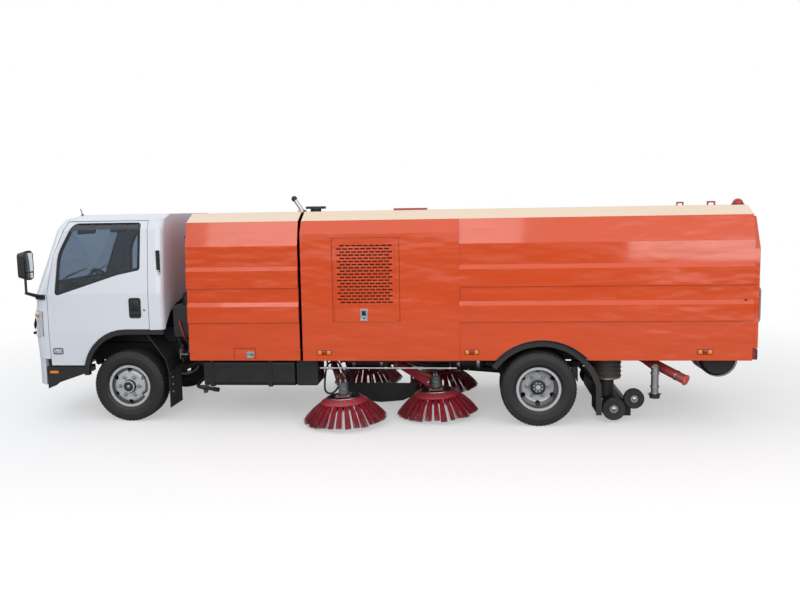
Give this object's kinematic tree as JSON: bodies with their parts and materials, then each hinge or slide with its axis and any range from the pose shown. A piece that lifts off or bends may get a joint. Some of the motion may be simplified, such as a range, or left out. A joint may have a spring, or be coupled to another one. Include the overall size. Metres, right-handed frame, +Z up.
{
  "type": "street sweeper truck",
  "caption": "Cab-over truck with a tipping litter hopper, water tank bay, auxiliary engine, side brushes and a suction nozzle; cab, doors, hopper and brushes move.",
  "frame": {"origin": "on the ground, midway between the front bumper and the back of the hopper, on the centre plane", "axes": "+X forward, +Y to the driver's left, +Z up"},
  "size_m": [7.8, 2.8642, 2.4649],
  "materials": {
    "cab_white": "satin white paint",
    "body_orange": "gloss orange paint",
    "frame_black": "matt black chassis paint",
    "cast": "bare casting",
    "steel": "bright steel",
    "wheel_silver": "silver wheel paint",
    "tyre": "tyre rubber",
    "black_plastic": "grained black plastic",
    "glass": "tinted safety glass",
    "lamp": "clear lamp cover",
    "lamp_red": "red lamp cover",
    "seat_cloth": "woven seat cloth",
    "trim_grey": "grained grey plastic",
    "red_paint": "red enamel",
    "bristle": "red filament",
    "tank_plastic": "moulded polyethylene",
    "galvanised": "galvanised sheet",
    "caster_rubber": "solid rubber"
  },
  "bodies": {
    "chassis": {"chassis_frame": "frame_black", "front_axle": "frame_black", "rear_axle": "frame_black", "leaf_springs": "frame_black", "engine_block": "cast", "propshaft": "frame_black", "fuel_tank": "frame_black", "side_boxes": "frame_black", "front_body": "body_orange", "water_tank": "tank_plastic", "air_cleaner": "black_plastic", "auxiliary_engine": "cast", "mudguards": "frame_black", "exhaust": "galvanised", "drain_pipes": "red_paint", "suction_duct": "galvanised"},
    "cab": {"cab_shell": "cab_white", "cab_glass": "glass", "cab_interior": "trim_grey", "cab_seats": "seat_cloth", "cab_trim": "black_plastic", "headlamps": "lamp", "front_bumper": "cab_white", "mirrors": "black_plastic"},
    "hopper": {"hopper_shell": "body_orange", "roof_fittings": "body_orange", "rear_lamps": "lamp_red"},
    "rear_door": {"rear_door": "body_orange"},
    "lift_barrel": {"lift_barrel": "steel"},
    "lift_rod": {"lift_rod": "steel"},
    "suction_nozzle": {"suction_nozzle": "steel"},
    "casters_front": {"casters_front": "caster_rubber"},
    "casters_rear": {"casters_rear": "caster_rubber"},
    "door_left": {"door_left": "cab_white", "door_glass_left": "glass"},
    "door_right": {"door_right": "cab_white", "door_glass_right": "glass"},
    "knuckle_left": {"knuckle_left": "cast"},
    "wheel_front_left": {"wheel_front_left": "wheel_silver", "tyre_front_left": "tyre"},
    "wheel_rear_left": {"wheel_rear_left": "wheel_silver", "tyre_rear_left": "tyre"},
    "knuckle_right": {"knuckle_right": "cast"},
    "wheel_front_right": {"wheel_front_right": "wheel_silver", "tyre_front_right": "tyre"},
    "wheel_rear_right": {"wheel_rear_right": "wheel_silver", "tyre_rear_right": "tyre"},
    "brush_arm_front_left": {"brush_arm_front_left": "red_paint"},
    "brush_front_left": {"brush_front_left": "bristle"},
    "brush_arm_front_right": {"brush_arm_front_right": "red_paint"},
    "brush_front_right": {"brush_front_right": "bristle"},
    "brush_arm_rear_left": {"brush_arm_rear_left": "red_paint"},
    "brush_rear_left": {"brush_rear_left": "bristle"},
    "brush_arm_rear_right": {"brush_arm_rear_right": "red_paint"},
    "brush_rear_right": {"brush_rear_right": "bristle"},
    "grille_door_left": {"grille_door_left": "body_orange"},
    "grille_door_right": {"grille_door_right": "body_orange"}
  },
  "joints": [
    {"name": "cab_tilt", "type": "hinge", "parent": "chassis", "child": "cab", "pos_m": [3.685, 0, 0.6], "axis": [0, 1, 0], "range_deg": [0, 45]},
    {"name": "door_left_swing", "type": "hinge", "parent": "cab", "child": "door_left", "pos_m": [3.642, 1.004, 1.4], "axis": [0, 0, -1], "range_deg": [0, 65]},
    {"name": "door_right_swing", "type": "hinge", "parent": "cab", "child": "door_right", "pos_m": [3.642, -1.004, 1.4], "axis": [0, 0, 1], "range_deg": [0, 65]},
    {"name": "hopper_tip", "type": "hinge", "parent": "chassis", "child": "hopper", "pos_m": [-3.66, 0, 0.755], "axis": [0, -1, 0], "range_deg": [0, 45]},
    {"name": "rear_door_swing", "type": "hinge", "parent": "hopper", "child": "rear_door", "pos_m": [-3.848, 0, 2.2], "axis": [0, 1, 0], "range_deg": [0, 80]},
    {"name": "lift_barrel_swing", "type": "hinge", "parent": "chassis", "child": "lift_barrel", "pos_m": [-3.36, 0, 0.6], "axis": [0, -1, 0], "range_deg": [0, 48.59]},
    {"name": "lift_rod_slide", "type": "slide", "parent": "lift_barrel", "child": "lift_rod", "axis": [0.9917, 0, 0.1289], "range_m": [0, 0.22179]},
    {"name": "steer_left", "type": "hinge", "parent": "chassis", "child": "knuckle_left", "pos_m": [2.78, 0.745, 0.3985], "axis": [0, 0, 1], "range_deg": [-35, 35]},
    {"name": "wheel_front_left_spin", "type": "hinge", "parent": "knuckle_left", "child": "wheel_front_left", "pos_m": [2.78, 0.855, 0.3985], "axis": [0, 1, 0], "continuous": true},
    {"name": "wheel_rear_left_spin", "type": "hinge", "parent": "chassis", "child": "wheel_rear_left", "pos_m": [-1.695, 0.824, 0.3985], "axis": [0, 1, 0], "continuous": true},
    {"name": "steer_right", "type": "hinge", "parent": "chassis", "child": "knuckle_right", "pos_m": [2.78, -0.745, 0.3985], "axis": [0, 0, 1], "range_deg": [-35, 35]},
    {"name": "wheel_front_right_spin", "type": "hinge", "parent": "knuckle_right", "child": "wheel_front_right", "pos_m": [2.78, -0.855, 0.3985], "axis": [0, 1, 0], "continuous": true},
    {"name": "wheel_rear_right_spin", "type": "hinge", "parent": "chassis", "child": "wheel_rear_right", "pos_m": [-1.695, -0.824, 0.3985], "axis": [0, 1, 0], "continuous": true},
    {"name": "brush_arm_front_left_swing", "type": "hinge", "parent": "chassis", "child": "brush_arm_front_left", "pos_m": [0.58, 0.42, 0.545], "axis": [0, 0, -1], "range_deg": [0, 12]},
    {"name": "brush_front_left_spin", "type": "hinge", "parent": "brush_arm_front_left", "child": "brush_front_left", "pos_m": [0.376, 0.985, 0.275], "axis": [0.0523, 0, 0.9986], "continuous": true},
    {"name": "brush_arm_front_right_swing", "type": "hinge", "parent": "chassis", "child": "brush_arm_front_right", "pos_m": [0.58, -0.42, 0.545], "axis": [0, 0, 1], "range_deg": [0, 12]},
    {"name": "brush_front_right_spin", "type": "hinge", "parent": "brush_arm_front_right", "child": "brush_front_right", "pos_m": [0.376, -0.985, 0.275], "axis": [0.0523, 0, 0.9986], "continuous": true},
    {"name": "brush_arm_rear_left_swing", "type": "hinge", "parent": "chassis", "child": "brush_arm_rear_left", "pos_m": [-0.14, 0.42, 0.545], "axis": [0, 0, -1], "range_deg": [0, 15]},
    {"name": "brush_rear_left_spin", "type": "hinge", "parent": "brush_arm_rear_left", "child": "brush_rear_left", "pos_m": [-0.605, 0.64, 0.275], "axis": [0.0523, 0, 0.9986], "continuous": true},
    {"name": "brush_arm_rear_right_swing", "type": "hinge", "parent": "chassis", "child": "brush_arm_rear_right", "pos_m": [-0.14, -0.42, 0.545], "axis": [0, 0, 1], "range_deg": [0, 15]},
    {"name": "brush_rear_right_spin", "type": "hinge", "parent": "brush_arm_rear_right", "child": "brush_rear_right", "pos_m": [-0.605, -0.64, 0.275], "axis": [0.0523, 0, 0.9986], "continuous": true},
    {"name": "nozzle_lift", "type": "hinge", "parent": "chassis", "child": "suction_nozzle", "pos_m": [-2.18, 0, 0.53], "axis": [0, 1, 0], "range_deg": [-3, 10]},
    {"name": "casters_front_spin", "type": "hinge", "parent": "suction_nozzle", "child": "casters_front", "pos_m": [-2.492, 0, 0.158], "axis": [0, 1, 0], "continuous": true},
    {"name": "casters_rear_spin", "type": "hinge", "parent": "suction_nozzle", "child": "casters_rear", "pos_m": [-2.7, 0, 0.268], "axis": [0, 1, 0], "continuous": true},
    {"name": "grille_door_left_swing", "type": "hinge", "parent": "hopper", "child": "grille_door_left", "pos_m": [0.095, 1.13, 2.005], "axis": [1, 0, 0], "range_deg": [0, 80]},
    {"name": "grille_door_right_swing", "type": "hinge", "parent": "hopper", "child": "grille_door_right", "pos_m": [0.095, -1.13, 2.005], "axis": [-1, 0, 0], "range_deg": [0, 80]}
  ],
  "couplings": [
    {"joint": "lift_barrel_swing", "follows": "hopper_tip", "ratio": 1.0796},
    {"joint": "lift_rod_slide", "follows": "hopper_tip", "m_per_rad": 0.28227},
    {"joint": "steer_right", "follows": "steer_left", "ratio": 1}
  ]
}
